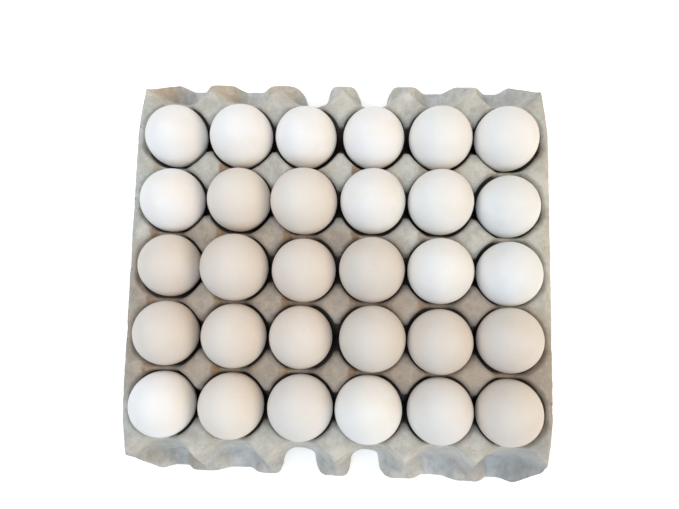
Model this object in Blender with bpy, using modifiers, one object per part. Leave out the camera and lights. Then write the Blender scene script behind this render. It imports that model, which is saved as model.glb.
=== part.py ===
"""A moulded-pulp egg tray, thirty pockets in five rows of six, with an egg standing in each.

Metres, +Z up. The origin is the middle of the tray's footprint, on the surface that it stands on.
The tray is one thin shell: pockets, posts, ridges and skirts are one surface with one wall thickness.
"""
import math

import bmesh
import bpy

# ---- Driving dimensions: the tray -----------------------------------------------------------
COLUMNS = 6
ROWS = 5
PITCH = 0.047                # from one pocket's middle to the next, both ways
WALL = 0.002                 # thickness of the pulp
TRAY_HEIGHT = 0.050          # from the underside of the feet to the tops of the posts
RIDGE_HEIGHT = 0.042         # the thin ridges between one row and the next
SADDLE_HEIGHT = 0.016        # the low saddles between one column and the next
RIM_HEIGHT = 0.046           # the outer edge of the rim on the left and on the right
RIM_WIDTH = 0.0055           # how far that rim stands out past the last line of posts
SKIRT_WIDTH = 0.0272         # how far the skirts stand out past the first and last lines of posts
CORNER_RUN = 0.01275         # from a corner post out to where the corner is cut off
RIM_TAPER = 0.0035           # how much narrower the rim gets on its way to a cut-off corner
TAPER_RUN = 0.006            # how far inside the corner post it starts to get narrower

# ---- Driving dimensions: one pocket, measured from its middle --------------------------------
FOOT_HALF = 0.0065           # half of the flat square foot
FOOT_TRIM = 0.0003           # pressed off under each foot, so that all the feet stand level
POST_REACH = 0.0254          # to a post's flat top, along the diagonal
POST_DRAFT = 0.293           # how far a post's side leans out for each unit that it drops
RIDGE_HALF = 0.0008          # half of a ridge's thickness at its top
RIDGE_DRAFT = 0.381          # lean of the walls below a ridge
SADDLE_HALF = 0.00875        # half of a saddle's flat top
SADDLE_DRAFT = 0.55          # lean of the walls below a saddle
SIDE_REACH = 0.026           # to the top of the wall beside the left or the right rim
SIDE_DRAFT = 0.443           # lean of that wall

# ---- Driving dimensions: the finger notches, two in the front skirt and two in the back -------
NOTCH_COLUMNS = (2, 3)
NOTCH_RADIUS = 0.0105
NOTCH_START = 0.007          # from the line of posts to the top of the arch
NOTCH_FLARE = 0.0025         # how much wider each side is at the skirt's edge
NOTCH_SIDES = 16
CUT_MARGIN = 0.010           # how far a cutter runs past what it cuts

# ---- Driving dimensions: the eggs ------------------------------------------------------------
EGG_WIDTHS = {"s": 0.0434, "m": 0.0444, "l": 0.0454, "x": 0.0464}
EGG_SIZES = ("smssmm", "mmxlls", "sxmllm", "mmslmm", "mmmlmm")     # back row first, left to right
EGG_LEANS = ("..w..w", ".nwnns", "nws..s", "n.wesn", "...w.w")     # which way an egg leans, if it does
LEAN_DIRECTIONS = {".": (0, 0), "n": (0, 1), "s": (0, -1), "e": (1, 0), "w": (-1, 0)}
LEAN_ANGLE = math.radians(3.5)
LEAN_PIVOT = 0.012           # how far below its middle an egg touches the pulp and leans from
EGG_SLENDERNESS = 1.30       # length over width
EGG_TAPER = 0.16             # how much slimmer the pointed end is than the blunt one
EGG_STEPS = 12               # faces around
EGG_RINGS = 6                # rings from end to end
SEAT_RINGS = 60              # finer rings, for working out where an egg comes to rest
SEAT_GAP = 0.0004            # kept between a shell and the pulp around it

# ---- Lines worked out from these -------------------------------------------------------------
HALF_PITCH = PITCH / 2
POST_LINE_X = COLUMNS * HALF_PITCH
POST_LINE_Y = ROWS * HALF_PITCH
DIAMOND_HALF = PITCH - POST_REACH * math.sqrt(2)
SHOULDER = HALF_PITCH - DIAMOND_HALF
FLOOR = WALL - FOOT_TRIM
TINY = 1e-6
RIM_X = POST_LINE_X + RIM_WIDTH
SKIRT_Y = POST_LINE_Y + SKIRT_WIDTH


def pulp_material():
    """Warm grey moulded paper pulp."""
    material = bpy.data.materials.new("pulp")
    material.use_nodes = True
    shader = material.node_tree.nodes["Principled BSDF"]
    shader.inputs["Base Color"].default_value = (0.50, 0.48, 0.41, 1.0)
    shader.inputs["Roughness"].default_value = 0.95
    return material


def shell_material():
    """Off-white eggshell."""
    material = bpy.data.materials.new("eggshell")
    material.use_nodes = True
    shader = material.node_tree.nodes["Principled BSDF"]
    shader.inputs["Base Color"].default_value = (0.88, 0.83, 0.77, 1.0)
    shader.inputs["Roughness"].default_value = 0.55
    return material


def remove_everything():
    """Start from an empty scene."""
    for thing in list(bpy.data.objects):
        bpy.data.objects.remove(thing, do_unlink=True)


def new_collection(name):
    """A collection in the scene."""
    collection = bpy.data.collections.new(name)
    bpy.context.scene.collection.children.link(collection)
    return collection


def add_object(name, mesh, collection, material=None):
    """An object on a mesh, with its material."""
    thing = bpy.data.objects.new(name, mesh)
    collection.objects.link(thing)
    if material:
        mesh.materials.append(material)
    return thing


# ---- The tray's surface ----------------------------------------------------------------------
def wall(top, reach, distance, draft):
    """Height of a leaning wall that tops out at a given reach from the pocket's middle."""
    return min(top, top - (reach - distance) / draft)


def nearest_middle(value, count):
    """Middle of the pocket that a coordinate falls in, along an axis with that many pockets."""
    index = math.floor(value / PITCH + count / 2)
    index = min(max(index, 0), count - 1)
    return (index - (count - 1) / 2) * PITCH


def post_top(x):
    """Height of the posts' tops, which slope down to the rim past the last line of posts."""
    past = max(abs(x) - POST_LINE_X, 0.0)
    return TRAY_HEIGHT - (TRAY_HEIGHT - RIM_HEIGHT) * min(past / RIM_WIDTH, 1.0)


def surface_height(x, y):
    """Height of the tray's upper surface: the highest of a pocket's floor and its walls."""
    u = abs(x - nearest_middle(x, COLUMNS))
    outside = abs(y) - POST_LINE_Y
    in_skirt = outside > 0
    v = HALF_PITCH - outside if in_skirt else abs(y - nearest_middle(y, ROWS))
    post = min(post_top(x), wall(TRAY_HEIGHT, POST_REACH, (u + v) / math.sqrt(2), POST_DRAFT))
    ridge = wall(RIDGE_HEIGHT, HALF_PITCH - RIDGE_HALF, v, RIDGE_DRAFT)
    if abs(x) > POST_LINE_X - HALF_PITCH:
        side = wall(RIM_HEIGHT, SIDE_REACH, u, SIDE_DRAFT)
    else:
        side = wall(SADDLE_HEIGHT, HALF_PITCH - SADDLE_HALF, u, SADDLE_DRAFT)
    return max(FLOOR, post, ridge, side)


def row_middles():
    """Middle lines of the rows of pockets, and of the half pockets in the two skirts."""
    return [(row - (ROWS - 1) / 2) * PITCH for row in range(-1, ROWS + 1)]


def column_lines():
    """The surface's lines across the tray: every change of slope, from rim to rim."""
    lines = [-RIM_X - CUT_MARGIN, -POST_LINE_X - RIM_WIDTH / 2]
    for column in range(COLUMNS):
        middle = (column - (COLUMNS - 1) / 2) * PITCH
        lines += [middle - HALF_PITCH, middle - SHOULDER, middle - FOOT_HALF]
        lines += [middle + FOOT_HALF, middle + SHOULDER]
    return lines + [POST_LINE_X, POST_LINE_X + RIM_WIDTH / 2, RIM_X + CUT_MARGIN]


def row_lines():
    """The surface's lines from front to back: every change of slope, from skirt to skirt."""
    skirt = [POST_LINE_Y + HALF_PITCH - v for v in (SHOULDER, FOOT_HALF, 0.0)]
    skirt.append(SKIRT_Y + CUT_MARGIN)
    lines = [-y for y in reversed(skirt)]
    for row in range(ROWS):
        middle = (row - (ROWS - 1) / 2) * PITCH
        lines += [middle - HALF_PITCH, middle - SHOULDER, middle - FOOT_HALF, middle]
        lines += [middle + FOOT_HALF, middle + SHOULDER]
    return lines + [POST_LINE_Y] + skirt


def runs_straight(vertex):
    """True where a vertex lies on a row's middle line and the surface runs straight past it."""
    u, y, height = vertex.co
    on_middle = any(abs(y - middle) < TINY for middle in row_middles())
    ahead = surface_height(u, y + FOOT_HALF)
    behind = surface_height(u, y - FOOT_HALF)
    return on_middle and max(abs(ahead - height), abs(behind - height)) < TINY


def drop_flat_middles(mesh):
    """Dissolve the edges along a row's middle line where the surface runs straight past them."""
    flat = {vertex for vertex in mesh.verts if runs_straight(vertex)}
    idle = [edge for edge in mesh.edges
            if flat.issuperset(edge.verts) and abs(edge.verts[0].co.y - edge.verts[1].co.y) < TINY]
    bmesh.ops.dissolve_edges(mesh, edges=idle, use_verts=True)


def split_along_creases(mesh):
    """Split each face along the diagonal that lies closest to the true surface."""
    for face in list(mesh.faces):
        corners = list(face.verts)
        if len(corners) > 4:
            continue
        middle = face.calc_center_median()
        target = surface_height(middle.x, middle.y)
        misses = [abs((corners[k].co.z + corners[k + 2].co.z) / 2 - target) for k in (0, 1)]
        first = misses.index(min(misses))
        bmesh.utils.face_split(face, corners[first], corners[first + 2])
    bmesh.ops.triangulate(mesh, faces=mesh.faces)


def tray_surface():
    """The tray's upper surface: a flat grid, spaced out to the lines and lifted to its heights."""
    xs = column_lines()
    ys = row_lines()
    mesh = bmesh.new()
    bmesh.ops.create_grid(mesh, x_segments=len(xs) - 1, y_segments=len(ys) - 1, size=1.0)
    for vertex in mesh.verts:
        column = round((vertex.co.x + 1) / 2 * (len(xs) - 1))
        row = round((vertex.co.y + 1) / 2 * (len(ys) - 1))
        vertex.co = (xs[column], ys[row], surface_height(xs[column], ys[row]))
    drop_flat_middles(mesh)
    split_along_creases(mesh)
    result = bpy.data.meshes.new("pulp_tray")
    mesh.to_mesh(result)
    mesh.free()
    return result


def arch(middle_x, side):
    """A finger notch's edge seen from above: a round arch whose mouth flares to the skirt's edge."""
    points = []
    for step in range(NOTCH_SIDES + 1):
        angle = math.pi * step / NOTCH_SIDES
        y = POST_LINE_Y + NOTCH_START + NOTCH_RADIUS * (1 - math.sin(angle))
        points.append((middle_x + NOTCH_RADIUS * math.cos(angle), y))
    mouth = NOTCH_RADIUS + NOTCH_FLARE
    points = [(middle_x + mouth, SKIRT_Y)] + points + [(middle_x - mouth, SKIRT_Y)]
    return [(side * x, side * y) for x, y in points]


def trim_outline():
    """The tray's edge seen from above, counter-clockwise: rims, cut-off corners, notched skirts."""
    notches = [(column - (COLUMNS - 1) / 2) * PITCH for column in NOTCH_COLUMNS]
    cut_x = RIM_X - RIM_TAPER
    corner = [(RIM_X, POST_LINE_Y - TAPER_RUN), (cut_x, POST_LINE_Y + CORNER_RUN)]
    corner.append((cut_x - (SKIRT_WIDTH - CORNER_RUN), SKIRT_Y))
    points = []
    for side in (1, -1):
        points += [(side * x, side * y) for x, y in corner]
        for middle_x in sorted(notches, reverse=True):
            points += arch(middle_x, side)
        points += [(-side * x, side * y) for x, y in reversed(corner)]
    return points


def trim_cutter(collection):
    """The die that trims the tray: its outline, carried up from the plane that the feet stand on."""
    mesh = bmesh.new()
    bottom = [mesh.verts.new((x, y, 0.0)) for x, y in trim_outline()]
    face = mesh.faces.new(bottom)
    lifted = bmesh.ops.extrude_face_region(mesh, geom=[face])["geom"]
    top = [item for item in lifted if isinstance(item, bmesh.types.BMVert)]
    bmesh.ops.translate(mesh, verts=top, vec=(0, 0, TRAY_HEIGHT + CUT_MARGIN))
    bmesh.ops.recalc_face_normals(mesh, faces=mesh.faces)
    result = bpy.data.meshes.new("trim_die")
    mesh.to_mesh(result)
    mesh.free()
    cutter = add_object("trim_die", result, collection)
    cutter.hide_render = True
    cutter.display_type = "WIRE"
    return cutter


def add_tray(collection, cutter):
    """The tray: its surface, thickened downwards, then trimmed to its outline."""
    tray = add_object("pulp_tray", tray_surface(), collection, pulp_material())
    thicken = tray.modifiers.new("wall", "SOLIDIFY")
    thicken.solidify_mode = "NON_MANIFOLD"
    thicken.nonmanifold_thickness_mode = "CONSTRAINTS"
    thicken.thickness = WALL
    thicken.offset = -1.0
    trim = tray.modifiers.new("trim", "BOOLEAN")
    trim.operation = "INTERSECT"
    trim.solver = "EXACT"
    trim.object = cutter
    return tray


# ---- The eggs --------------------------------------------------------------------------------
def egg_profile(width, rings):
    """Half of an egg's outline, blunt end first: pairs of radius and height above its middle."""
    length = width * EGG_SLENDERNESS
    raw = []
    for ring in range(rings + 1):
        angle = math.pi * ring / rings
        swell = math.sin(angle) * (1 + EGG_TAPER * math.cos(angle))
        raw.append((swell, length / 2 * math.cos(angle)))
    widest = max(swell for swell, _ in raw)
    return [(width / 2 * swell / widest, height) for swell, height in raw]


def seat_height(width):
    """How high an egg's middle stands when its shell comes to rest against the pocket's walls."""
    highest = 0.0
    for radius, height in egg_profile(width, SEAT_RINGS):
        beside_ridge = RIDGE_HEIGHT - (HALF_PITCH - RIDGE_HALF - SEAT_GAP - radius) / RIDGE_DRAFT
        beside_post = TRAY_HEIGHT - (POST_REACH - SEAT_GAP - radius) / POST_DRAFT
        highest = max(highest, beside_ridge - height, beside_post - height)
    return highest


def add_egg(collection, material, row, column):
    """One egg, turned from its profile, standing on its pointed end in its pocket."""
    width = EGG_WIDTHS[EGG_SIZES[row][column]]
    points = [(radius, 0, height + LEAN_PIVOT) for radius, height in egg_profile(width, EGG_RINGS)]
    edges = [(index, index + 1) for index in range(EGG_RINGS)]
    mesh = bpy.data.meshes.new("egg")
    mesh.from_pydata(points, edges, [])
    egg = add_object(f"egg_{row + 1}_{column + 1}", mesh, collection, material)
    turn = egg.modifiers.new("turn", "SCREW")
    turn.steps = EGG_STEPS
    turn.render_steps = EGG_STEPS
    turn.use_merge_vertices = True
    turn.merge_threshold = 0.0001
    turn.use_smooth_shade = True
    x = (column - (COLUMNS - 1) / 2) * PITCH
    y = ((ROWS - 1) / 2 - row) * PITCH
    lean_x, lean_y = LEAN_DIRECTIONS[EGG_LEANS[row][column]]
    egg.location = (x, y, seat_height(width) - LEAN_PIVOT)
    egg.rotation_euler = (-lean_y * LEAN_ANGLE, lean_x * LEAN_ANGLE, 0)
    return egg


def build():
    """The whole thing: the tray and its eggs."""
    remove_everything()
    carton = new_collection("egg_tray")
    add_tray(carton, trim_cutter(new_collection("cutters")))
    shell = shell_material()
    for row in range(ROWS):
        for column in range(COLUMNS):
            add_egg(carton, shell, row, column)


build()
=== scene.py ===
# %% [markdown]
# # A moulded-pulp egg tray, filled with thirty eggs
#
# The tray is one sheet of grey paper pulp, sucked wet onto a mesh mould and dried. It has five rows
# of six pockets, posts with flat diamond tops between them, a flat rim on the left and on the right,
# and a skirt with two finger notches at the front and at the back. Each pocket holds one egg.
#
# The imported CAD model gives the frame: sizes in metres, +Z up, the rows of six along X. It is loaded
# first and never changed. Every piece below is laid over its own CAD part and stands for it.

# %% Load the CAD frame
import math

import bpy
from mathutils import Matrix, Vector


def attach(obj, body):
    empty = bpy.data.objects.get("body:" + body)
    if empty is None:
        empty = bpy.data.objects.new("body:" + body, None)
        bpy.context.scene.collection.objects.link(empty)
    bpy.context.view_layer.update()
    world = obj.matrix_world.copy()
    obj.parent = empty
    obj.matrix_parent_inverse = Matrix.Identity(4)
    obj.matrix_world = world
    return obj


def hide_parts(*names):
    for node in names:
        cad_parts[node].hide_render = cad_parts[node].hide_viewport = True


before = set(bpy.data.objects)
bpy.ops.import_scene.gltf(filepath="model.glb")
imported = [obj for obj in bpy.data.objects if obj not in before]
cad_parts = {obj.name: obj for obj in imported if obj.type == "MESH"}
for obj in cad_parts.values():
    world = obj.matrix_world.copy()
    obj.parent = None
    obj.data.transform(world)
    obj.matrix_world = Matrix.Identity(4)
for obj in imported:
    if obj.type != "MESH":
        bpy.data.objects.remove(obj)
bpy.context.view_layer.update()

# %% [markdown]
# ## Sizes
#
# A pressed tray follows a rule: each pocket is the same pocket again. So the sizes of one pocket and
# of the edge around them all are enough. They are the mould's sizes, the same as the CAD part's,
# because the tray made here has to lie where the CAD tray lies.

# %% Sizes of the tray
COLUMNS, ROWS = 6, 5
PITCH = 0.047                # from one pocket's middle to the next, both ways
WALL = 0.002                 # thickness of the pulp
HEIGHT = 0.050               # tops of the posts
RIDGE = 0.042                # tops of the thin ridges between the rows
SADDLE = 0.016               # tops of the low saddles between the columns
RIM = 0.046                  # outer edge of the rim, left and right
RIM_WIDTH = 0.0055           # the rim past the last line of posts
SKIRT = 0.0272               # the skirt past the last line of posts
CORNER = 0.01275             # from a corner post out to where the corner is cut off
FOOT_TRIM = 0.0003           # what the press takes off under the feet
HALF = PITCH / 2
POST_LINE_X = COLUMNS * HALF
POST_LINE_Y = ROWS * HALF
RIM_X = POST_LINE_X + RIM_WIDTH
SKIRT_Y = POST_LINE_Y + SKIRT
print("tray, mm:", round(2000 * RIM_X, 1), "by", round(2000 * SKIRT_Y, 1))

# %% [markdown]
# ## Two small tools for node trees
#
# Both the shapes and the finishes below are made of nodes, and most of those nodes do arithmetic.
# Written out one by one they would hide what the sums mean. So a `Wire` stands for one socket, and
# `+ - * /` on wires add the Math nodes. A `Bench` is the node tree being worked on, with one method
# that adds any other node from its type, its settings and what its sockets get.


# %% Wires and the bench
class Wire:
    """A number on its way through a node tree. Arithmetic on it adds Math nodes."""

    def __init__(self, bench, socket):
        self.bench = bench
        self.socket = socket

    def __add__(self, other):
        return self.bench.math("ADD", self, other)

    def __sub__(self, other):
        return self.bench.math("SUBTRACT", self, other)

    def __mul__(self, other):
        return self.bench.math("MULTIPLY", self, other)

    def __truediv__(self, other):
        return self.bench.math("DIVIDE", self, other)

    def __neg__(self):
        return self.bench.math("MULTIPLY", self, -1.0)

    def __abs__(self):
        return self.bench.math("ABSOLUTE", self)

    def __gt__(self, other):
        return self.bench.math("GREATER_THAN", self, other)

    def __rsub__(self, other):
        return self.bench.math("SUBTRACT", other, self)

    def __rtruediv__(self, other):
        return self.bench.math("DIVIDE", other, self)

    __radd__ = __add__
    __rmul__ = __mul__


class Bench:
    """A node tree being built."""

    def __init__(self, tree):
        self.tree = tree

    def node(self, kind, settings=None, sockets=None):
        """Any node: its type, its settings, then a value or a wire for each socket named."""
        made = self.tree.nodes.new(kind)
        for name, value in (settings or {}).items():
            setattr(made, name, value)
        for name, value in (sockets or {}).items():
            for item in value if isinstance(value, list) else [value]:
                if isinstance(item, Wire):
                    self.tree.links.new(item.socket, made.inputs[name])
                else:
                    made.inputs[name].default_value = item
        return made

    def wire(self, kind, settings=None, sockets=None, output=0):
        """Any node too, but it gives one of the node's outputs as a wire."""
        return Wire(self, self.node(kind, settings, sockets).outputs[output])

    def math(self, operation, *values):
        return self.wire("ShaderNodeMath", {"operation": operation}, dict(enumerate(values)))

    def vector(self, operation, *values, output=0):
        return self.wire("ShaderNodeVectorMath", {"operation": operation}, dict(enumerate(values)), output)

    def combine(self, x, y, z):
        return self.wire("ShaderNodeCombineXYZ", None, {0: x, 1: y, 2: z})

    def separate(self, vector):
        made = self.node("ShaderNodeSeparateXYZ", None, {0: vector})
        return [Wire(self, output) for output in made.outputs]

    def step(self, value, start, end, low=0.0, high=1.0):
        """A soft step: low before start, high after end."""
        sockets = {"Value": value, "From Min": start, "From Max": end, "To Min": low, "To Max": high}
        return self.wire("ShaderNodeMapRange", {"interpolation_type": "SMOOTHSTEP"}, sockets)


def new_shape_tree(name, sizes):
    """A Geometry Nodes tree with a named input for each size. Gives its bench and those inputs."""
    tree = bpy.data.node_groups.new(name, "GeometryNodeTree")
    tree.interface.new_socket("Geometry", in_out="INPUT", socket_type="NodeSocketGeometry")
    tree.interface.new_socket("Geometry", in_out="OUTPUT", socket_type="NodeSocketGeometry")
    for label, value in sizes.items():
        kind = "NodeSocketInt" if isinstance(value, int) else "NodeSocketFloat"
        tree.interface.new_socket(label, in_out="INPUT", socket_type=kind).default_value = value
    bench = Bench(tree)
    entry = bench.node("NodeGroupInput")
    return bench, {label: Wire(bench, entry.outputs[label]) for label in sizes}


def finish_shape_tree(bench, geometry, material):
    """Ends a tree the way every tree here ends: real geometry, in its material."""
    geometry = bench.wire("GeometryNodeSetShadeSmooth", None, {"Geometry": geometry})
    geometry = bench.wire("GeometryNodeRealizeInstances", None, {"Geometry": geometry})
    geometry = bench.wire("GeometryNodeSetMaterial", None, {"Geometry": geometry, "Material": material})
    bench.node("NodeGroupOutput", None, {"Geometry": geometry})


def press(name, tree, sizes, material):
    """Runs a tree with its sizes, and keeps the result as a plain mesh on a new object.

    The inputs are set by their identifiers, before the blank is evaluated for the first time.
    """
    blank = bpy.data.objects.new(name + "_blank", bpy.data.meshes.new(name + "_blank"))
    bpy.context.scene.collection.objects.link(blank)
    modifier = blank.modifiers.new("shape", "NODES")
    modifier.node_group = tree
    for item in tree.interface.items_tree:
        if item.in_out == "INPUT" and item.name in sizes:
            modifier[item.identifier] = sizes[item.name]
    bpy.context.view_layer.update()
    evaluated = blank.evaluated_get(bpy.context.evaluated_depsgraph_get())
    mesh = bpy.data.meshes.new_from_object(evaluated)
    mesh.name = name
    bpy.data.objects.remove(blank)
    mesh.materials.clear()
    mesh.materials.append(material)
    piece = bpy.data.objects.new(name, mesh)
    bpy.context.scene.collection.objects.link(piece)
    return piece


print("two tools ready: Wire and Bench")

# %% [markdown]
# ## The pulp
#
# Moulded pulp is recycled newsprint: a warm light grey, dead matt, with short fibres lying every
# way, darker and lighter flecks, and soft cloudy patches where the slurry settled thicker or drier.
# An image of pulp would do it, but would repeat and need unwrapping. Noise textures on Object
# coordinates need neither.
#
# Use marks it too: hands have dulled the deck. The rest is painted light and shade. A painted shadow
# darkens and browns the rows in the middle, brown painted shade lies on the slopes right of some posts and
# on humps at the left, a painted cool light tints the troughs of the skirts, and painted shade darkens the
# front humps, the corners and the insides of the cups. Each mark is a mask: a soft step along an axis, a
# height or a distance. The masks repeat from pocket to pocket with Wrap. The tree below stores "upper", 1
# on the upper face and 0 on the underside, so that the cups' painted shade stays off the underside.


# %% Colours of the pulp
PULP_PALE = (0.71, 0.695, 0.635, 1.0)
PULP_GREY = (0.53, 0.51, 0.465, 1.0)
# Painted shade, near black, for the insides of the cups and the saddles.
PULP_PAINTED_SHADE = (0.052, 0.025, 0.019, 1.0)
# Real stray stains, and brown painted shade on the slopes right of some posts.
PULP_STAIN_AND_SHADE = (0.27, 0.16, 0.08, 1.0)
FLECK_DARK = (0.16, 0.15, 0.14, 1.0)
FLECK_PALE = (0.78, 0.77, 0.72, 1.0)
# These multiply the colour that is already there. The first is wear; the other five are painted light and
# shade.
PULP_HANDLED = (0.87, 0.865, 0.85, 1.0)      # the deck, touched most
PULP_PAINTED_SHADOW = (0.755, 0.655, 0.60, 1.0)     # the middle rows
PULP_PAINTED_COOL_LIGHT = (0.975, 1.0, 1.07, 1.0)          # troughs of the skirts
PULP_FRONT_SHADE = (0.84, 0.84, 0.87, 1.0)          # humps of the front skirt
PULP_BROWN_SHADE = (0.93, 0.82, 0.72, 1.0)          # humps at the left
PULP_CORNER_SHADE = (0.77, 0.785, 0.81, 1.0)        # the corners
print("pulp, pale to deep:", PULP_PALE[:3], PULP_GREY[:3], PULP_STAIN_AND_SHADE[:3], PULP_PAINTED_SHADE[:3])

# %% Where each mark starts and where it is full
# Metres. The first number is where a mark starts, the second where it is full.
CUP_SHADE = (0.0241, 0.0235)                 # distance from the middle of a cup
DEEP_SHADE = (0.0450, 0.0400)                # height, everywhere between the rims
RIDGE_SHADE = (0.0400, 0.0360)               # height, on the strip over a ridge
RIDGE_STRIP = (HALF - 0.0026, HALF - 0.0012)
SHADE_Y = (POST_LINE_Y, POST_LINE_Y - 0.0015)
SHADE_LEFT = (POST_LINE_X - 0.0015, POST_LINE_X - 0.0030)
SHADE_RIGHT = (POST_LINE_X + 0.0018, POST_LINE_X + 0.0010)
RIGHT_RIM = (0.138, 0.142)                   # where the cups' shade spreads onto the right rim
RIGHT_RIM_ROWS = (0.07, 0.02, 0.4, 1.0)      # less at the back, all of it further forward
RIGHT_RIM_SPREAD = 0.0013
HUMP = (0.016, 0.009)                        # distance from a post line
SKIRT_FACE = (POST_LINE_Y + 0.004, POST_LINE_Y + 0.014)
DECK_FACE = (POST_LINE_Y + 0.010, POST_LINE_Y + 0.002)
# Brown painted shade on hump faces at the left, at the back and beside the humps at the front.
BROWN_SHADE_BACK = (-0.03, -0.06)
BROWN_SHADE_FRONT = (-0.07, -0.09)
BROWN_SHADE_BESIDE, BROWN_SHADE_SHIFT = (0.008, 0.003), 0.010
# Painted shade at the corners, and how it grows towards the right and the front.
CORNER_SHADE_X, CORNER_SHADE_Y = (0.100, 0.143), (0.080, 0.115)
CORNER_SHADE_RIGHT, CORNER_SHADE_FRONT = (-0.14, 0.14), (0.12, -0.12)
# A painted shadow over the middle rows: where its back and front edges lie, and how they lean.
SHADOW_BACK, SHADOW_FRONT = (0.042, 0.022), (-0.106, -0.080)
SHADOW_RIGHT_LEAN = 0.42                      # how the browned part's back edge runs towards the front
SHADOW_LEFT_LEAN, SHADOW_LEFT_START = 0.6, 0.11
# Brown painted shade on the slopes right of the posts.
SLOPE_SHADE_NEAR, SLOPE_SHADE_FAR = (0.0070, 0.0095), (0.0155, 0.0130)     # right of a post line
SLOPE_SHADE_ALONG = (0.0060, 0.0020)               # along Y, from a post line
SLOPE_SHADE_LIMIT_X, SLOPE_SHADE_LIMIT_Y = (0.07, 0.05), (0.10, 0.07)
print("cup shade, mm:", [round(1000 * edge, 1) for edge in CUP_SHADE])


# %% Pulp material
def new_material(name):
    """A material with only its output, and a bench to build the rest on."""
    material = bpy.data.materials.new(name)
    material.use_nodes = True
    material.node_tree.nodes.clear()
    return material, Bench(material.node_tree)


def noise(bench, vector, scale, detail=2.0, roughness=0.5, distortion=0.0):
    """A noise texture as a number from 0 to 1, with its scale in lumps per metre."""
    sockets = {"Vector": vector, "Scale": scale, "Detail": detail, "Roughness": roughness,
               "Distortion": distortion}
    return bench.wire("ShaderNodeTexNoise", None, sockets)


def blend(bench, factor, first, second, mode="MIX"):
    """Two colours mixed. Mix has a row of sockets for each kind of value: 6, 7 and 2 are colours."""
    settings = {"data_type": "RGBA", "blend_type": mode}
    return bench.wire("ShaderNodeMix", settings, {0: factor, 6: first, 7: second}, output=2)


def painted_cup_shade(bench, x, y, height):
    """How much painted shade darkens a place: the insides of the cups and the saddles between them."""
    near_x = HALF - abs(bench.math("WRAP", x, -HALF, HALF))
    near_y = abs(bench.math("WRAP", y, -HALF, HALF))
    by_right_rim = bench.step(x, *RIGHT_RIM) * bench.step(y, *RIGHT_RIM_ROWS)
    past_x = bench.math("MAXIMUM", x - POST_LINE_X, 0.0) * 2
    radius = bench.math("SQRT", (near_x + past_x) * (near_x + past_x) + near_y * near_y)
    cup = bench.step(radius - by_right_rim * RIGHT_RIM_SPREAD, *CUP_SHADE)
    deep = bench.math("MAXIMUM", cup, bench.step(height, *DEEP_SHADE))
    ridge = bench.step(near_y, *RIDGE_STRIP)
    dark = deep * (1 - ridge) + bench.step(height, *RIDGE_SHADE) * ridge
    inside = bench.step(abs(y), *SHADE_Y)
    between_rims = bench.step(-x, *SHADE_LEFT)
    between_rims = between_rims * bench.step(x, *SHADE_RIGHT)
    upper = Wire(bench, bench.node("ShaderNodeAttribute", {"attribute_name": "upper"}).outputs["Fac"])
    return dark * inside * between_rims * upper


def skirt_painted_light(bench, x, y, colour):
    """Painted light and shade outside the pockets: a painted cool light in the troughs, painted shade on
    the front humps and the corners, brown painted shade on humps at the left.
    """
    hump = bench.step(abs(bench.math("WRAP", x, -HALF, HALF)), *HUMP)
    skirt = bench.step(abs(y), *SKIRT_FACE)
    front = bench.math("LESS_THAN", y, 0.0)
    # A painted cool light in the troughs of the skirts.
    colour = blend(bench, skirt * (1 - hump), colour, PULP_PAINTED_COOL_LIGHT, "MULTIPLY")
    # Painted shade on the humps of the front skirt.
    colour = blend(bench, skirt * hump * front, colour, PULP_FRONT_SHADE, "MULTIPLY")
    # Brown painted shade on humps of the back skirt at the left.
    brown_shade = skirt * (1 - front) * bench.step(x, *BROWN_SHADE_BACK) * hump
    colour = blend(bench, brown_shade, colour, PULP_BROWN_SHADE, "MULTIPLY")
    # Painted shade at the corners, strongest at the front right.
    corner = bench.step(abs(x), *CORNER_SHADE_X) * bench.step(abs(y), *CORNER_SHADE_Y)
    weight = bench.step(x, *CORNER_SHADE_RIGHT) * 0.5 + bench.step(y, *CORNER_SHADE_FRONT) * 0.5
    colour = blend(bench, corner * weight, colour, PULP_CORNER_SHADE, "MULTIPLY")
    # Brown painted shade beside the humps of the front skirt, at the left.
    aside = bench.math("WRAP", x + BROWN_SHADE_SHIFT, -HALF, HALF)
    brown_shade = bench.step(abs(aside), *BROWN_SHADE_BESIDE) * skirt * front * bench.step(x, *BROWN_SHADE_FRONT)
    return blend(bench, brown_shade, colour, PULP_BROWN_SHADE, "MULTIPLY")


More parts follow.
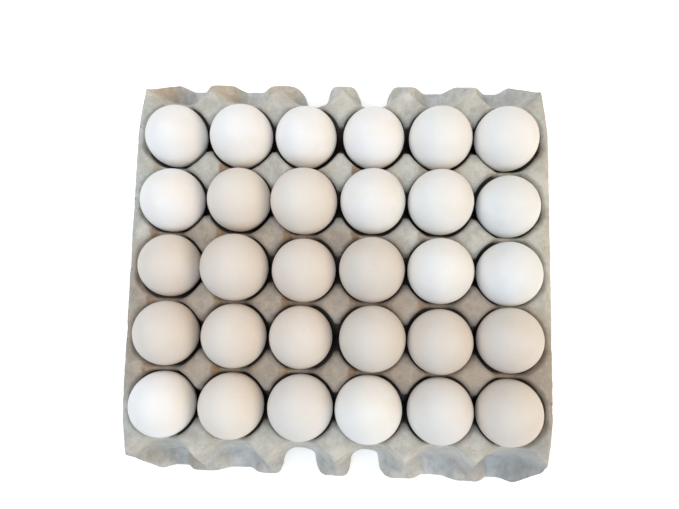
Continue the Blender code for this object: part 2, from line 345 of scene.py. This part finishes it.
def pulp_colour(bench, place, tone, flecks, strand):
    """The pulp's colour: cloudy grey, with a painted shadow across the middle and painted shade deep in
    the pockets.
    """
    x, y, height = bench.separate(place)
    colour = blend(bench, bench.step(tone, 0.38, 0.60), PULP_GREY, PULP_PALE)
    colour = blend(bench, bench.step(abs(y), *DECK_FACE), colour, PULP_HANDLED, "MULTIPLY")
    colour = skirt_painted_light(bench, x, y, colour)
    # A painted shadow, darker and browner, across the middle rows.
    waver = (noise(bench, place, 9.0, 2.0) - 0.5) * 0.05
    right = bench.math("MAXIMUM", x, 0.0) * SHADOW_RIGHT_LEAN
    left = bench.math("MAXIMUM", -x - SHADOW_LEFT_START, 0.0) * SHADOW_LEFT_LEAN
    shadowed_band = bench.step(y + right + left + waver, *SHADOW_BACK) * bench.step(y + waver, *SHADOW_FRONT)
    colour = blend(bench, shadowed_band, colour, PULP_PAINTED_SHADOW, "MULTIPLY")

    # Brown painted shade, in patches, on the slopes right of some posts.
    beside = bench.math("WRAP", x, -HALF, HALF)
    along = abs(bench.math("WRAP", y, 0.0, PITCH) - HALF)
    corner = bench.step(beside, *SLOPE_SHADE_NEAR) * bench.step(beside, *SLOPE_SHADE_FAR)
    corner = corner * bench.step(along, *SLOPE_SHADE_ALONG) * bench.step(x, *SLOPE_SHADE_LIMIT_X)
    blotch = bench.step(noise(bench, place, 30.0, 3.0, 0.6, 0.6), 0.36, 0.50)
    corner = corner * blotch * bench.step(abs(y), *SLOPE_SHADE_LIMIT_Y)
    colour = blend(bench, corner * 0.85, colour, PULP_STAIN_AND_SHADE)
    stray = bench.step(noise(bench, place, 24.0, 3.0, 0.6, 0.8), 0.58, 0.78)
    colour = blend(bench, stray * 0.25, colour, PULP_STAIN_AND_SHADE)

    # Painted shade inside the cups and over the saddles, on the upper face only.
    colour = blend(bench, painted_cup_shade(bench, x, y, height), colour, PULP_PAINTED_SHADE)
    colour = blend(bench, bench.step(flecks, 0.66, 0.74) * 0.55, colour, FLECK_DARK)
    colour = blend(bench, bench.step(flecks, 0.32, 0.26) * 0.5, colour, FLECK_PALE)
    return blend(bench, strand * 0.22, colour, FLECK_PALE)


def pulp_material():
    """Grey recycled paper pulp."""
    material, bench = new_material("moulded_pulp")
    place = Wire(bench, bench.node("ShaderNodeTexCoord").outputs["Object"])
    clouds = noise(bench, place, 38.0, 4.0, 0.55, 0.4)
    patches = noise(bench, place, 190.0, 3.0, 0.6)
    grain = noise(bench, place, 900.0, 3.0, 0.65)
    fibres = abs(noise(bench, place, 520.0, 2.0, 0.5, 2.2) - 0.5)
    flecks = noise(bench, place, 1500.0, 1.0, 0.4, 0.8)
    strand = bench.step(fibres, 0.028, 0.004)
    tone = clouds * 0.42 + patches * 0.43 + grain * 0.15
    colour = pulp_colour(bench, place, tone, flecks, strand)

    relief = grain * 0.5 + patches * 0.9 + strand * 0.35
    bump = bench.wire("ShaderNodeBump", None, {"Height": relief, "Strength": 0.65, "Distance": 0.0006})
    roughness = bench.step(patches, 0.3, 0.7, 0.86, 0.98)
    shader = bench.node("ShaderNodeBsdfPrincipled", None, {
        "Base Color": colour, "Roughness": roughness, "Normal": bump, "Specular IOR Level": 0.22,
        "Sheen Weight": 0.12, "Sheen Roughness": 0.6})
    bench.tree.links.new(shader.outputs[0], bench.node("ShaderNodeOutputMaterial").inputs[0])
    return material


pulp = pulp_material()
print("pulp nodes:", len(pulp.node_tree.nodes))

# %% [markdown]
# ## The pocket's rule
#
# Seen from above, the tray is a height for every point: a pocket is a flat floor with walls that
# lean outwards, and wherever two walls compete, the higher one shows. The wall towards a post tops
# out in a flat diamond, the one towards the next row in a thin ridge, and the one towards the next
# column in a low broad saddle. Beside a rim, a wall up to the rim takes the saddle's place. Modelling
# that by hand would mean thirty copies to keep in step. As a rule it is a few walls and a soft
# maximum, which also rounds every inside and outside corner the way wet pulp does.
#
# Over the walls lies the deck, the flat upper part between the cups. Its shoulders fall from a post to
# the ridges, it ends in a neck towards each saddle, and a round lip cuts it off around every egg.
#
# The underside is the same rule with each wall moved in by the thickness. A wall that is shifted
# square to itself by that much starts a little further out at its top, which `leaning_wall` adds.

# %% Sizes of one pocket
DECK_ROUNDING = 0.0035       # how tall the rounding at the top of each kind of wall is
RIDGE_ROUNDING = 0.002
SADDLE_ROUNDING = 0.006
LIP_ROUNDING = 0.0015
VALLEY_ROUNDING = 0.0045     # where two walls, or a wall and the floor, run together
POCKET = {
    "Post Reach": 0.0254, "Post Draft": 0.293,          # middle to a post along the diagonal, lean
    "Ridge Half": 0.0008, "Ridge Draft": 0.381,         # half of a ridge's top, lean of its walls
    "Saddle Half": 0.00875, "Saddle Draft": 0.55,
    "Side Reach": 0.026, "Side Draft": 0.443,           # the wall beside the left or right rim
    "Side Creep": 0.15,                                 # how much it comes in towards a skirt's edge
    "Lip Reach": 0.0242, "Lip Draft": 0.10,             # the round upper edge of the cup, nearly upright
    "Deck Reach": 0.0246, "Deck Draft": 0.60,           # the shoulders from a post down to its ridges
    "Neck Reach": 0.012, "Neck Draft": 0.30,            # where the deck ends towards a saddle
    "Rim Stretch": 0.93,                                # the cup is a little oval beside the rim
}
TRAY_SIZES = {
    "Columns": COLUMNS, "Rows": ROWS, "Pitch": PITCH, "Wall": WALL, "Height": HEIGHT, "Ridge": RIDGE,
    "Saddle": SADDLE, "Rim": RIM, "Rim Width": RIM_WIDTH, "Skirt": SKIRT, "Corner": CORNER,
    "Rim Taper": 0.0060, "Taper Run": 0.020, "Foot Trim": FOOT_TRIM, "Notch Round": 0.006,
    "Corner Round": 0.0018, "Curl": 0.0014, "Lumps": 0.00035, "Ragged": 0.0009, "Front Extra": 0.0015,
    "Front Skew": 0.0115, "Lip Round": 0.0005, "Snap": 0.5, "Cells": 32, "Crowding": 0.35, **POCKET,
}
EDGE_ROUND = 0.002           # where a rim's edge runs into a skirt's
FRONT_PART = 0.8             # the front edge, which runs a little askew, starts this far to the front
TEARS = ((55.0, 1.2), (420.0, 0.8))     # lumps per metre along the torn edge, and their share
# Each notch: front (-1) or back (1), middle, start past the posts, radius, flare at the mouth. No
# two are quite the same.
NOTCHES = ((-1, -0.0262, 0.0086, 0.0118, 0.0020), (-1, 0.0213, 0.0086, 0.0105, 0.0015),
           (1, -0.0200, 0.0080, 0.0080, 0.0040), (1, 0.0242, 0.0080, 0.0105, 0.0040))
print("sizes that the tray's tree takes:", len(TRAY_SIZES))


# %% The height of a point
def leaning_wall(bench, top, reach, distance, draft, skin, rounding, cap=None):
    """Height of a wall that tops out at a reach from the pocket's middle, with its top rounded off."""
    shifted = reach + skin * (bench.math("SQRT", draft * draft + 1) - draft)
    slope = top - skin - (shifted - distance) / draft
    return bench.math("SMOOTH_MIN", (cap or top) - skin, slope, rounding)


def from_middle(bench, value, size, count):
    """Distance to the middle of the pocket that a coordinate falls in, and that middle."""
    pitch = size["Pitch"]
    index = bench.math("FLOOR", value / pitch + count * 0.5)
    index = bench.math("MINIMUM", bench.math("MAXIMUM", index, 0), count - 1)
    middle = (index - (count - 1) * 0.5) * pitch
    return abs(value - middle), middle


def from_cup(bench, u, v, beside_rim, size):
    """Distance to the middle of the cup, which is a little oval beside the rim."""
    narrow = u * (1 - beside_rim * (1 - size["Rim Stretch"]))
    return bench.math("SQRT", narrow * narrow + v * v)


def deck_height(bench, u, v, beside_rim, post_top, size, skin):
    """Height of the deck between the cups, cut off by their round and nearly upright upper edges."""
    height = size["Height"]
    shoulder = leaning_wall(bench, height, size["Deck Reach"], (u + v) * math.sqrt(0.5),
                            size["Deck Draft"], skin, DECK_ROUNDING, post_top)
    neck = leaning_wall(bench, height, size["Neck Reach"], v, size["Neck Draft"], skin, DECK_ROUNDING)
    inner = bench.math("SMOOTH_MIN", shoulder, neck, DECK_ROUNDING)
    outer = bench.math("MAXIMUM", shoulder, size["Rim"] - skin)
    deck = inner + (outer - inner) * beside_rim
    lip = leaning_wall(bench, height, size["Lip Reach"], from_cup(bench, u, v, beside_rim, size),
                       size["Lip Draft"], skin, LIP_ROUNDING)
    return bench.math("SMOOTH_MIN", deck, lip, LIP_ROUNDING)


def pressed_height(bench, x, y, size, skin):
    """Height of the tray over a point: upper face for skin 0, underside for skin = wall."""
    half = size["Pitch"] * 0.5
    outside = bench.math("MAXIMUM", abs(y) - size["Rows"] * half, 0.0)
    u, _ = from_middle(bench, x, size, size["Columns"])
    inner_v, _ = from_middle(bench, y, size, size["Rows"])
    v_top = bench.math("MINIMUM", inner_v, half)
    v = v_top - outside
    beside_rim = abs(x) > size["Columns"] * half - half

    past = bench.math("MAXIMUM", abs(x) - size["Columns"] * half, 0.0) / size["Rim Width"]
    post_top = size["Height"] - (size["Height"] - size["Rim"]) * bench.math("MINIMUM", past, 1.0)
    post = leaning_wall(bench, size["Height"], size["Post Reach"], (u + v) * math.sqrt(0.5),
                        size["Post Draft"], skin, DECK_ROUNDING, post_top)
    ridge = leaning_wall(bench, size["Ridge"], half - size["Ridge Half"], v, size["Ridge Draft"],
                         skin, RIDGE_ROUNDING)
    saddle = leaning_wall(bench, size["Saddle"], half - size["Saddle Half"], u, size["Saddle Draft"],
                          skin, SADDLE_ROUNDING)
    side_reach = size["Side Reach"] - outside * size["Side Creep"]
    side = leaning_wall(bench, size["Rim"], side_reach, u, size["Side Draft"], skin, RIDGE_ROUNDING)
    cross = saddle + (side - saddle) * beside_rim
    floor = bench.math("MAXIMUM", size["Wall"] - size["Foot Trim"] - skin, 0.0)
    walls = bench.math("SMOOTH_MAX", ridge, cross, VALLEY_ROUNDING)
    walls = bench.math("SMOOTH_MAX", walls, post, VALLEY_ROUNDING)
    deck = deck_height(bench, u, v_top, beside_rim, post_top, size, skin)
    walls = bench.math("SMOOTH_MAX", walls, deck - outside / size["Ridge Draft"], LIP_ROUNDING)
    curl = size["Curl"] * bench.step(past, 0.5, 1.0)
    return bench.math("SMOOTH_MAX", walls - curl, floor, VALLEY_ROUNDING)


# %% [markdown]
# ## The tray's edge
#
# The wet tray is trimmed to an outline: straight at the rims, cut across at the corners, and along
# each skirt with two arched notches for the fingers. A Boolean with a flat die would cut it dead
# sharp. Here the outline is a distance instead, negative on the pulp and positive off it, with a
# little noise on it because pulp tears in fibres. Grid points off the pulp are deleted, and the
# points left on the border are pulled onto the line where the distance is zero.


# %% The distance to the edge
NUDGE = 0.0004               # a step to the side, to feel which way the distance grows


def edge_distance(bench, x, y, size):
    """How far outside the tray's outline a point lies. Inside the tray it is negative."""
    half = size["Pitch"] * 0.5
    post_y = size["Rows"] * half
    rim_x = size["Columns"] * half + size["Rim Width"]
    at_front = bench.math("LESS_THAN", y, post_y * -FRONT_PART)
    far_x = abs(x)
    far_y = abs(y) - (size["Front Extra"] + x * size["Front Skew"]) * at_front
    taper = bench.math("MAXIMUM", far_y - post_y + size["Taper Run"], 0.0)
    taper = taper * size["Rim Taper"] / (size["Taper Run"] + size["Corner"])
    edge = bench.math("SMOOTH_MAX", far_x - rim_x + taper, far_y - post_y - size["Skirt"],
                      EDGE_ROUND)
    cut = rim_x - size["Rim Taper"] + post_y + size["Corner"]
    corner = (far_x + far_y - cut) * math.sqrt(0.5)
    edge = bench.math("SMOOTH_MAX", edge, corner, size["Corner Round"])
    for side, middle, start, radius, flare in NOTCHES:
        across = abs(x - middle)
        along = y * side - (post_y + start + radius)
        flared = bench.math("MAXIMUM", along, 0.0) / (SKIRT - start - radius) * flare + radius
        round_part = bench.math("MINIMUM", along, 0.0)
        reach = bench.math("SQRT", across * across + round_part * round_part)
        edge = bench.math("SMOOTH_MAX", edge, flared - reach, size["Notch Round"])
    place = bench.combine(x, y, 0.0)
    coarse, fine = (noise(bench, place, scale, 2.0) * share for scale, share in TEARS)
    torn = coarse + fine - 1.0
    return edge + torn * size["Ragged"]


def edge_slope(bench, x, y, size):
    """The distance to the edge at a point, and the direction straight out of the tray."""
    distance = edge_distance(bench, x, y, size)
    out_x = (edge_distance(bench, x + NUDGE, y, size) - distance) / NUDGE
    out_y = (edge_distance(bench, x, y + NUDGE, size) - distance) / NUDGE
    out = bench.vector("NORMALIZE", bench.combine(out_x, out_y, 0.0))
    return distance, out


# %% [markdown]
# ## Pressing the tray
#
# The tree starts from a flat grid whose lines are pulled closer together over the ridges and posts,
# where the shape turns sharply. It trims the grid, and pulls the points nearest to a cup's round lip
# onto it, so that the lip is crisp and not a staircase. Then it stacks three flat layers with Extrude
# Mesh: upper face, middle of the edge, underside. Only then does it press them: each layer goes to its
# own height. So the tray is closed at every edge, and each wall keeps its thickness. At the very end
# the whole surface is pushed about by a third of a millimetre, because pulp is never quite even.


# %% Tray tree
LAYER = 0.001                # spacing of the flat layers before they are pressed
TRIM_MARGIN = 0.0003         # points closer to the outline than this are dropped before the snap
RIM_CLEAR = 0.0025           # the lips aren't snapped this close to a rim
LUMPS = ((260.0, 2.0, 1.1), (60.0, 1.0, 0.9))      # lumps per metre, detail, share
FEET = (0.0, 0.004)          # the lumps fade out down here, so that the feet stand flat


def border_points(bench):
    """True on the points along an open border."""
    faces = bench.wire("GeometryNodeInputMeshEdgeNeighbors")
    settings = {"data_type": "INT", "operation": "EQUAL"}      # sockets 2 and 3 are the whole numbers
    single = bench.wire("FunctionNodeCompare", settings, {2: faces, 3: 1})
    return bench.wire("GeometryNodeFieldOnDomain", {"data_type": "BOOLEAN", "domain": "EDGE"}, {0: single})


def move(bench, geometry, position, selection=True):
    """Puts the selected points at a position."""
    sockets = {"Geometry": geometry, "Selection": selection, "Position": position}
    return bench.wire("GeometryNodeSetPosition", None, sockets)


def here(bench):
    """The position of the point being worked on, as three wires."""
    return bench.separate(bench.wire("GeometryNodeInputPosition"))


def crowded_grid(bench, size):
    """A flat grid with its lines closer together over the posts and the ridges."""
    turn = 2 * math.pi / size["Pitch"]
    columns = (size["Columns"] + 1) * size["Cells"]
    rows = (size["Rows"] + 2) * size["Cells"]
    grid = bench.wire("GeometryNodeMeshGrid", None, {
        "Size X": (size["Columns"] + 1) * size["Pitch"], "Size Y": (size["Rows"] + 2) * size["Pitch"],
        "Vertices X": columns + 1, "Vertices Y": rows + 1})
    x, y, _ = here(bench)
    pull = size["Crowding"] / turn
    x = x - bench.math("SINE", x * turn) * pull
    y = y + bench.math("SINE", y * turn) * pull
    return move(bench, grid, bench.combine(x, y, 0.0))


def trimmed_sheet(bench, sheet, size):
    """The grid cut to the tray's outline."""
    sheet = bench.wire("GeometryNodeTriangulate", {"quad_method": "SHORTEST_DIAGONAL"}, {"Mesh": sheet})
    x, y, _ = here(bench)
    off = edge_distance(bench, x, y, size) > -TRIM_MARGIN
    sheet = bench.wire("GeometryNodeDeleteGeometry", {"domain": "POINT"},
                       {"Geometry": sheet, "Selection": off})
    on_border = bench.wire("GeometryNodeFieldOnDomain", {"data_type": "FLOAT", "domain": "POINT"},
                           {0: border_points(bench)})
    sheet = bench.wire("GeometryNodeDeleteGeometry", {"domain": "FACE"},
                       {"Geometry": sheet, "Selection": on_border > 0.99})
    for _ in range(2):
        x, y, z = here(bench)
        distance, out = edge_slope(bench, x, y, size)
        target = bench.vector("SUBTRACT", bench.combine(x, y, z),
                              bench.vector("MULTIPLY", out, bench.combine(distance, distance, 0.0)))
        sheet = move(bench, sheet, target, border_points(bench))
    return sheet


def snapped_to_cups(bench, sheet, size):
    """The sheet with the points nearest to each cup's round upper edge pulled onto it."""
    x, y, _ = here(bench)
    half = size["Pitch"] * 0.5
    u, middle_x = from_middle(bench, x, size, size["Columns"])
    v, middle_y = from_middle(bench, y, size, size["Rows"])
    beside_rim = abs(x) > size["Columns"] * half - half
    distance = from_cup(bench, u, v, beside_rim, size)
    pull = size["Lip Reach"] / distance
    turn = 2 * math.pi / size["Pitch"]
    cell = size["Pitch"] / size["Cells"]
    step_x = cell * (1 - size["Crowding"] * bench.math("COSINE", x * turn)) * u
    step_y = cell * (1 + size["Crowding"] * bench.math("COSINE", y * turn)) * v
    reach = bench.math("MAXIMUM", step_x, step_y) / distance * size["Snap"]
    near = bench.math("LESS_THAN", abs(distance - size["Lip Reach"]), reach)
    near = near * bench.math("LESS_THAN", abs(y), size["Rows"] * half)
    near = near * bench.math("LESS_THAN", abs(x), size["Columns"] * half - RIM_CLEAR)
    place = bench.combine(middle_x + (x - middle_x) * pull, middle_y + (y - middle_y) * pull, 0.0)
    return move(bench, sheet, place, near)


def layered(bench, sheet):
    """Three flat layers joined along their borders: a closed stack."""
    down = bench.combine(0.0, 0.0, -LAYER)
    stack = bench.node("GeometryNodeExtrudeMesh", {"mode": "FACES"},
                       {"Mesh": sheet, "Offset": down, "Offset Scale": 1.0, "Individual": False})
    stack = bench.node("GeometryNodeExtrudeMesh", {"mode": "FACES"}, {
        "Mesh": Wire(bench, stack.outputs["Mesh"]), "Selection": Wire(bench, stack.outputs["Top"]),
        "Offset": down, "Offset Scale": 1.0, "Individual": False})
    flipped = bench.wire("GeometryNodeFlipFaces", None, {"Mesh": Wire(bench, stack.outputs["Mesh"])})
    both = bench.wire("GeometryNodeJoinGeometry", None, {"Geometry": [sheet, flipped]})
    return bench.wire("GeometryNodeMergeByDistance", None, {"Geometry": both, "Distance": LAYER / 50})


def tray_tree():
    """The whole tray, from flat grid to pressed pulp."""
    bench, size = new_shape_tree("pressed_tray", TRAY_SIZES)
    sheet = trimmed_sheet(bench, crowded_grid(bench, size), size)
    stack = layered(bench, snapped_to_cups(bench, sheet, size))
    x, y, z = here(bench)
    layer = bench.math("ROUND", z / -LAYER)
    stack = bench.wire("GeometryNodeStoreNamedAttribute", {"data_type": "FLOAT", "domain": "POINT"}, {
        "Geometry": stack, "Name": "upper", "Value": 1 - layer * 0.5})
    top = pressed_height(bench, x, y, size, 0.0)
    under = pressed_height(bench, x, y, size, size["Wall"])
    _, out = edge_slope(bench, x, y, size)
    bulge = (1 - abs(layer - 1)) * size["Lip Round"]
    level = top + (under - top) * layer * 0.5
    place = bench.vector("ADD", bench.combine(x, y, level),
                         bench.vector("MULTIPLY", out, bench.combine(bulge, bulge, 0.0)))
    pressed = move(bench, stack, place)

    x, y, z = here(bench)
    place = bench.combine(x, y, z)
    lumps, swell = (noise(bench, place, scale, detail) * share for scale, detail, share in LUMPS)
    push = (lumps + swell - 1.0) * size["Lumps"] * bench.step(z, *FEET)
    normal = bench.wire("GeometryNodeInputNormal")
    offset = bench.vector("MULTIPLY", normal, bench.combine(push, push, push))
    pressed = bench.wire("GeometryNodeSetPosition", None, {"Geometry": pressed, "Offset": offset})
    finish_shape_tree(bench, pressed, pulp)
    return bench.tree


tray = press("moulded_tray", tray_tree(), TRAY_SIZES, pulp)
print("tray triangles:", sum(len(face.vertices) - 2 for face in tray.data.polygons))
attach(tray, "root")
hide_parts("pulp_tray")

# %% [markdown]
# ## Eggshell
#
# White shells are not pure white: each bird's are a little different, from cool white through cream to a
# greyish beige, so the eggs of one tray get a handful of tints. The darker, warmer tints, given to the
# third and fourth rows and the front right, are partly painted shade as well. The shell is matt, with
# pores close together like fine orange peel, faint clouds in the colour and a few chalky spots.


# %% Eggshell materials
SHELL_TINTS = {
    "w": (0.871, 0.860, 0.861),     # white
    "n": (0.832, 0.824, 0.814),     # neutral white
    "b": (0.795, 0.806, 0.813),     # bluish white
    "o": (0.744, 0.721, 0.707),     # off-white
    "c": (0.769, 0.715, 0.661),     # cream
    "p": (0.732, 0.668, 0.615),     # pinkish cream
    "g": (0.693, 0.638, 0.588),     # greyish beige
}
CHALK = (0.93, 0.92, 0.90, 1.0)


def shell_material(letter, tint):
    """One tint of eggshell."""
    material, bench = new_material("eggshell_" + letter)
    place = Wire(bench, bench.node("ShaderNodeTexCoord").outputs["Object"])
    clouds = noise(bench, place, 45.0, 3.0, 0.55, 0.3)
    mottle = noise(bench, place, 420.0, 3.0, 0.6)
    pores = bench.wire("ShaderNodeTexVoronoi", None, {"Vector": place, "Scale": 1500.0})
    chalk = noise(bench, place, 700.0, 1.0, 0.5)
    base = (*tint, 1.0)
    warm = (tint[0] * 0.97, tint[1] * 0.93, tint[2] * 0.88, 1.0)
    pale = tuple(min(value * 1.05, 0.93) for value in tint) + (1.0,)
    colour = blend(bench, bench.step(clouds, 0.35, 0.70) * 0.7, base, warm)
    colour = blend(bench, bench.step(mottle, 0.55, 0.75) * 0.35, colour, pale)
    colour = blend(bench, bench.step(pores, 0.16, 0.02) * 0.10, colour, warm)
    colour = blend(bench, bench.step(chalk, 0.76, 0.82) * 0.5, colour, CHALK)
    relief = bench.step(pores, 0.0, 0.35) * 0.6 + mottle * 0.5
    bump = bench.wire("ShaderNodeBump", None, {"Height": relief, "Strength": 0.22, "Distance": 0.0002})
    roughness = bench.step(mottle, 0.3, 0.7, 0.50, 0.62)
    shader = bench.node("ShaderNodeBsdfPrincipled", None, {
        "Base Color": colour, "Roughness": roughness, "Normal": bump, "Specular IOR Level": 0.28,
        "Sheen Weight": 0.05, "Sheen Roughness": 0.5})
    bench.tree.links.new(shader.outputs[0], bench.node("ShaderNodeOutputMaterial").inputs[0])
    return material


shells = {letter: shell_material(letter, tint) for letter, tint in SHELL_TINTS.items()}
print("shell tints:", ", ".join(shells))

# %% [markdown]
# ## Eggs
#
# An egg is round across and oval along, with one end blunter. Take a ball, stretch it to the egg's
# length, and widen the rings towards the blunt end: that is the whole formula. One tree makes all
# thirty, and each gets its own width, its own small unevenness, and the pocket that it stands in.
# Eggs stand on the pointed end, and a few lean a little where the pulp touches them.

# %% Sizes of the eggs
EGG_WIDTHS = {"s": 0.0434, "m": 0.0444, "l": 0.0454, "x": 0.0464}
EGG_SIZES = ("smssmm", "mmxlls", "sxmllm", "mmslmm", "mmmlmm")      # back row first, left to right
EGG_LEANS = ("..w..w", ".nwnns", "nws..s", "n.wesn", "...w.w")
# The darker tints in the third and fourth rows and at the front right are partly painted shade.
EGG_COLOURS = ("wwwwnn", "wccnnb", "pppgnb", "pppggg", "wconog")
LEAN_DIRECTIONS = {".": (0, 0), "n": (0, 1), "s": (0, -1), "e": (1, 0), "w": (-1, 0)}
LEAN_ANGLE = math.radians(3.5)
LEAN_PIVOT = 0.012           # an egg leans about the ring where it touches the pulp
SLENDERNESS = 1.30           # length over width
TAPER = 0.16                 # how much slimmer the pointed end is
SEAT_GAP = 0.0004            # kept between a shell and the pulp around it
SEAT_RINGS = 60              # rings tried, for where an egg comes to rest
EGG_SIZE_INPUTS = {
    "Width": 0.0444, "Length": 0.0577, "Taper": TAPER, "Fullness": 1.0, "Pocket X": 0.0, "Pocket Y": 0.0,
    "Seat": 0.05, "Tilt X": 0.0, "Tilt Y": 0.0, "Pivot": LEAN_PIVOT, "Unevenness": 0.00022, "Seed": 0.0,
    "Segments": 64, "Rings": 44,
}


def fullness(taper):
    """How much wider the widest ring comes out than the ball it is made from."""
    cosine = (math.sqrt(1 + 8 * taper * taper) - 1) / (4 * taper)
    return math.sqrt(1 - cosine * cosine) * (1 + taper * cosine)


def seat_height(width):
    """How high an egg's middle stands when its shell meets the walls of the pocket."""
    length = width * SLENDERNESS
    highest = 0.0
    for ring in range(SEAT_RINGS + 1):
        angle = math.pi * ring / SEAT_RINGS
        radius = width / 2 * math.sin(angle) * (1 + TAPER * math.cos(angle)) / fullness(TAPER)
        height = length / 2 * math.cos(angle)
        at_ridge = RIDGE - (HALF - POCKET["Ridge Half"] - SEAT_GAP - radius) / POCKET["Ridge Draft"]
        at_post = HEIGHT - (POCKET["Post Reach"] - SEAT_GAP - radius) / POCKET["Post Draft"]
        highest = max(highest, at_ridge - height, at_post - height)
    return highest


print("seats, mm:", {size: round(1000 * seat_height(width), 1) for size, width in EGG_WIDTHS.items()})


# %% Egg tree
def egg_tree(material):
    """A ball drawn out to an egg, leaned, and set into its pocket."""
    bench, size = new_shape_tree("egg", EGG_SIZE_INPUTS)
    ball = bench.wire("GeometryNodeMeshUVSphere", None,
                      {"Segments": size["Segments"], "Rings": size["Rings"], "Radius": 1.0})
    x, y, z = here(bench)
    seed = bench.combine(size["Seed"] * 3.7, size["Seed"] * 1.9, size["Seed"])
    dents = noise(bench, bench.vector("ADD", bench.combine(x, y, z), seed), 1.4, 1.0)
    shrink = (1 - dents) * size["Unevenness"]
    girth = (1 + size["Taper"] * z) * size["Width"] * 0.5 / size["Fullness"] - shrink
    body = bench.combine(x * girth, y * girth, z * (size["Length"] * 0.5 - shrink))
    leaned = bench.wire("ShaderNodeVectorRotate", {"rotation_type": "EULER_XYZ"}, {
        "Vector": body, "Center": bench.combine(0.0, 0.0, -size["Pivot"]),
        "Rotation": bench.combine(size["Tilt X"], size["Tilt Y"], 0.0)})
    placed = bench.vector("ADD", leaned, bench.combine(size["Pocket X"], size["Pocket Y"], size["Seat"]))
    finish_shape_tree(bench, move(bench, ball, placed), material)
    return bench.tree


egg_trees = {letter: egg_tree(material) for letter, material in shells.items()}


# %% Lay the eggs
def lay_egg(row, column):
    """One egg in its pocket, standing for its CAD part."""
    width = EGG_WIDTHS[EGG_SIZES[row][column]]
    letter = EGG_COLOURS[row][column]
    lean_x, lean_y = LEAN_DIRECTIONS[EGG_LEANS[row][column]]
    sizes = dict(EGG_SIZE_INPUTS, Width=width, Length=width * SLENDERNESS, Fullness=fullness(TAPER),
                 Seat=seat_height(width), Seed=float(row * COLUMNS + column + 1))
    sizes["Pocket X"] = (column - (COLUMNS - 1) / 2) * PITCH
    sizes["Pocket Y"] = ((ROWS - 1) / 2 - row) * PITCH
    sizes["Tilt X"] = -lean_y * LEAN_ANGLE
    sizes["Tilt Y"] = lean_x * LEAN_ANGLE
    name = f"{row + 1}_{column + 1}"
    egg = press("whole_egg_" + name, egg_trees[letter], sizes, shells[letter])
    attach(egg, "root")
    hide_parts("egg_" + name)
    return egg


eggs = [lay_egg(row, column) for row in range(ROWS) for column in range(COLUMNS)]
print("eggs:", len(eggs), "of", len(eggs[0].data.polygons), "faces each")

# %% [markdown]
# ## Floor, light and camera
#
# The tray stands on a plain pale floor under soft studio light. One panel hangs overhead, cool ones
# stand on the left and at the front, a neutral one at the back left, and a warm one low on the right,
# which gives the right-hand sides of the eggs their peach tinge. A faint even light from all round
# keeps the shadows open. The floor glows a little, so that it comes out pale even under the tray's
# shadow. The camera looks almost straight down.


# %% Floor
FLOOR_REACH = 4.0


def add_floor():
    """A plain pale floor, wide enough to fill the view."""
    mesh = bpy.data.meshes.new("floor")
    corners = [(x * FLOOR_REACH, y * FLOOR_REACH, 0) for x, y in ((-1, -1), (1, -1), (1, 1), (-1, 1))]
    mesh.from_pydata(corners, [], [(0, 1, 2, 3)])
    floor = bpy.data.objects.new("floor", mesh)
    bpy.context.scene.collection.objects.link(floor)
    material, bench = new_material("pale_floor")
    shader = bench.node("ShaderNodeBsdfPrincipled", None, {
        "Base Color": (0.88, 0.88, 0.88, 1.0), "Roughness": 0.9,
        "Emission Color": (1.0, 1.0, 1.0, 1.0), "Emission Strength": 0.35})
    bench.tree.links.new(shader.outputs[0], bench.node("ShaderNodeOutputMaterial").inputs[0])
    mesh.materials.append(material)
    return floor


add_floor()
print("floor, m:", 2 * FLOOR_REACH, "square")


# %% Light
PANELS = {                   # place, size, watts, colour
    "overhead": ((0.1, 0.0, 1.6), 1.0, 4.0, (0.95, 0.99, 1.0)),
    "cool_left": ((-0.7, 0.0, 1.45), 0.9, 5.9, (0.69, 0.83, 1.0)),
    "warm_right": ((1.2, -0.1, 0.85), 0.8, 10.5, (1.0, 0.80, 0.56)),
    "cool_front": ((0.0, -1.2, 1.1), 0.9, 7.1, (0.68, 0.84, 1.0)),
    "back_left": ((-0.9, 0.9, 1.1), 0.9, 8.5, (0.98, 1.0, 1.0)),
}
ROUND_LIGHT = (1.0, 0.99, 0.96, 1.0)
ROUND_STRENGTH = 0.277


def add_panel(name, location, size, power, colour):
    """A soft square light panel, aimed at the tray."""
    data = bpy.data.lights.new(name, "AREA")
    data.shape = "SQUARE"
    data.size = size
    data.energy = power
    data.color = colour
    panel = bpy.data.objects.new(name, data)
    panel.location = location
    aim = -Vector(location)
    panel.rotation_euler = aim.to_track_quat("-Z", "Y").to_euler()
    bpy.context.scene.collection.objects.link(panel)
    return panel


for name, settings in PANELS.items():
    add_panel(name, *settings)
world = bpy.data.worlds.new("studio")
world.use_nodes = True
world.node_tree.nodes["Background"].inputs["Color"].default_value = ROUND_LIGHT
world.node_tree.nodes["Background"].inputs["Strength"].default_value = ROUND_STRENGTH
bpy.context.scene.world = world
bpy.context.scene.view_settings.view_transform = "Standard"
print("light panels:", ", ".join(PANELS))

# %% Camera
CAMERA_PLACE = (0.01476, -0.03406, 0.4574)
CAMERA_LENS = 31.39
CAMERA_RIGHT = (0.9993, 0.0206, -0.0315)
CAMERA_UP = (-0.0171, 0.9939, 0.1088)


def add_camera():
    """Almost straight above the tray, a little towards the front edge."""
    data = bpy.data.cameras.new("camera")
    data.sensor_width = 36.0
    data.lens = CAMERA_LENS
    data.clip_start = 0.01
    camera = bpy.data.objects.new("camera", data)
    right = Vector(CAMERA_RIGHT).normalized()
    back = right.cross(Vector(CAMERA_UP)).normalized()
    up = back.cross(right)
    turn = Matrix((right, up, back)).transposed().to_4x4()
    camera.matrix_world = Matrix.Translation(CAMERA_PLACE) @ turn
    bpy.context.scene.collection.objects.link(camera)
    bpy.context.scene.camera = camera
    return camera


add_camera()
print("camera, m above the floor:", CAMERA_PLACE[2])
